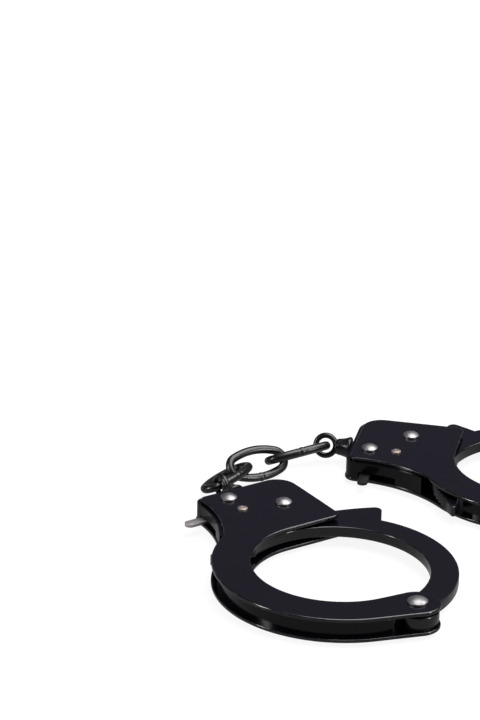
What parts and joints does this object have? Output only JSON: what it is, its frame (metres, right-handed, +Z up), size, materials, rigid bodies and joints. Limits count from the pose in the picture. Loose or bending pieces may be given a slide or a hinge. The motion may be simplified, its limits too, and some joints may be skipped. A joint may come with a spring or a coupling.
{
  "type": "handcuffs",
  "caption": "Flat handcuffs with toothed swinging strands, spring pawls with side release levers, and swivel eyes joined by a short chain of welded links.",
  "frame": {"origin": "middle of the set's footprint, on the surface that it lies on, level with the undersides of the lower rivet heads", "axes": "+Z up from the table through the cuffs' thickness; +Y away from the viewer and +X to the viewer's right, as the set lies in the picture"},
  "size_m": [0.1572, 0.1495, 0.0112],
  "materials": {
    "black_gloss": "glossy black coating with rounded, slightly worn edges",
    "black_wall": "glossy black coating on bent strip",
    "black_swivel": "glossy black coating on turned metal",
    "black_link": "glossy black coating on welded round wire",
    "rivet_steel": "bright plated dome",
    "lever_steel": "bright plated stamping",
    "post_brass": "dull brass",
    "washer_steel": "plain steel"
  },
  "bodies": {
    "cuff_a": {"top_plate_a": "black_gloss", "bottom_plate_a": "black_gloss", "cheek_spacer_a": "black_wall", "lock_frame_a": "black_wall", "hinge_rivet_a": "rivet_steel", "hinge_washers_a": "washer_steel", "foot_rivet_a": "rivet_steel", "foot_sleeve_a": "washer_steel", "pawl_rivet_a": "rivet_steel", "pawl_washers_a": "washer_steel", "pawl_spring_a": "washer_steel", "key_post_a": "post_brass", "swivel_washer_a": "washer_steel"},
    "strand_a": {"strand_a": "black_gloss"},
    "pawl_a": {"pawl_a": "lever_steel"},
    "swivel_a": {"swivel_a": "black_swivel"},
    "link_a": {"chain_link_a": "black_link"},
    "link_mid": {"chain_link_mid": "black_link"},
    "link_b": {"chain_link_b": "black_link"},
    "swivel_b": {"swivel_b": "black_swivel"},
    "cuff_b": {"top_plate_b": "black_gloss", "bottom_plate_b": "black_gloss", "cheek_spacer_b": "black_wall", "lock_frame_b": "black_wall", "hinge_rivet_b": "rivet_steel", "hinge_washers_b": "washer_steel", "foot_rivet_b": "rivet_steel", "foot_sleeve_b": "washer_steel", "pawl_rivet_b": "rivet_steel", "pawl_washers_b": "washer_steel", "pawl_spring_b": "washer_steel", "key_post_b": "post_brass", "swivel_washer_b": "washer_steel"},
    "strand_b": {"strand_b": "black_gloss"},
    "pawl_b": {"pawl_b": "lever_steel"}
  },
  "joints": [
    {"name": "strand_a_swing", "type": "hinge", "parent": "cuff_a", "child": "strand_a", "pos_m": [-0.00701, -0.06213, 0.0056], "axis": [0, 0, 1], "range_deg": [-120, 9.64]},
    {"name": "pawl_a_release", "type": "hinge", "parent": "cuff_a", "child": "pawl_a", "pos_m": [-0.04723, 0.00515, 0.0056], "axis": [0, 0, 1], "range_deg": [0, 5.5], "stiffness_Nm_per_rad": 0.05, "springref_deg": 5.5},
    {"name": "swivel_a_turn", "type": "hinge", "parent": "cuff_a", "child": "swivel_a", "pos_m": [-0.06727, 0.02511, 0.0056], "axis": [-0.5519, 0.8339, 0], "continuous": true},
    {"name": "link_a_swing", "type": "hinge", "parent": "swivel_a", "child": "link_a", "pos_m": [-0.06912, 0.0279, 0.0056], "axis": [0, 0, 1], "range_deg": [-10, 25]},
    {"name": "link_mid_swing", "type": "hinge", "parent": "link_a", "child": "link_mid", "pos_m": [-0.06002, 0.04246, 0.00473], "axis": [0.7627, -0.5191, 0.3858], "range_deg": [-4, 60]},
    {"name": "link_b_swing", "type": "hinge", "parent": "link_mid", "child": "link_b", "pos_m": [-0.05188, 0.04593, 0.00542], "axis": [0.3094, -0.8057, 0.5051], "range_deg": [-15, 60]},
    {"name": "swivel_b_swing", "type": "hinge", "parent": "link_b", "child": "swivel_b", "pos_m": [-0.0332, 0.05436, 0.00743], "axis": [0.3094, -0.8057, 0.5051], "range_deg": [-30, 30]},
    {"name": "cuff_b_turn", "type": "hinge", "parent": "swivel_b", "child": "cuff_b", "pos_m": [-0.03307, 0.05872, 0.00561], "axis": [-0.9806, 0.1959, 0], "continuous": true},
    {"name": "strand_b_swing", "type": "hinge", "parent": "cuff_b", "child": "strand_b", "pos_m": [0.07129, 0.04001, 0.0056], "axis": [0, 0, 1], "range_deg": [-127.7, 0]},
    {"name": "pawl_b_release", "type": "hinge", "parent": "cuff_b", "child": "pawl_b", "pos_m": [-0.00479, 0.05888, 0.0056], "axis": [0, 0, 1], "range_deg": [0, 5.5], "stiffness_Nm_per_rad": 0.05, "springref_deg": 5.5}
  ]
}
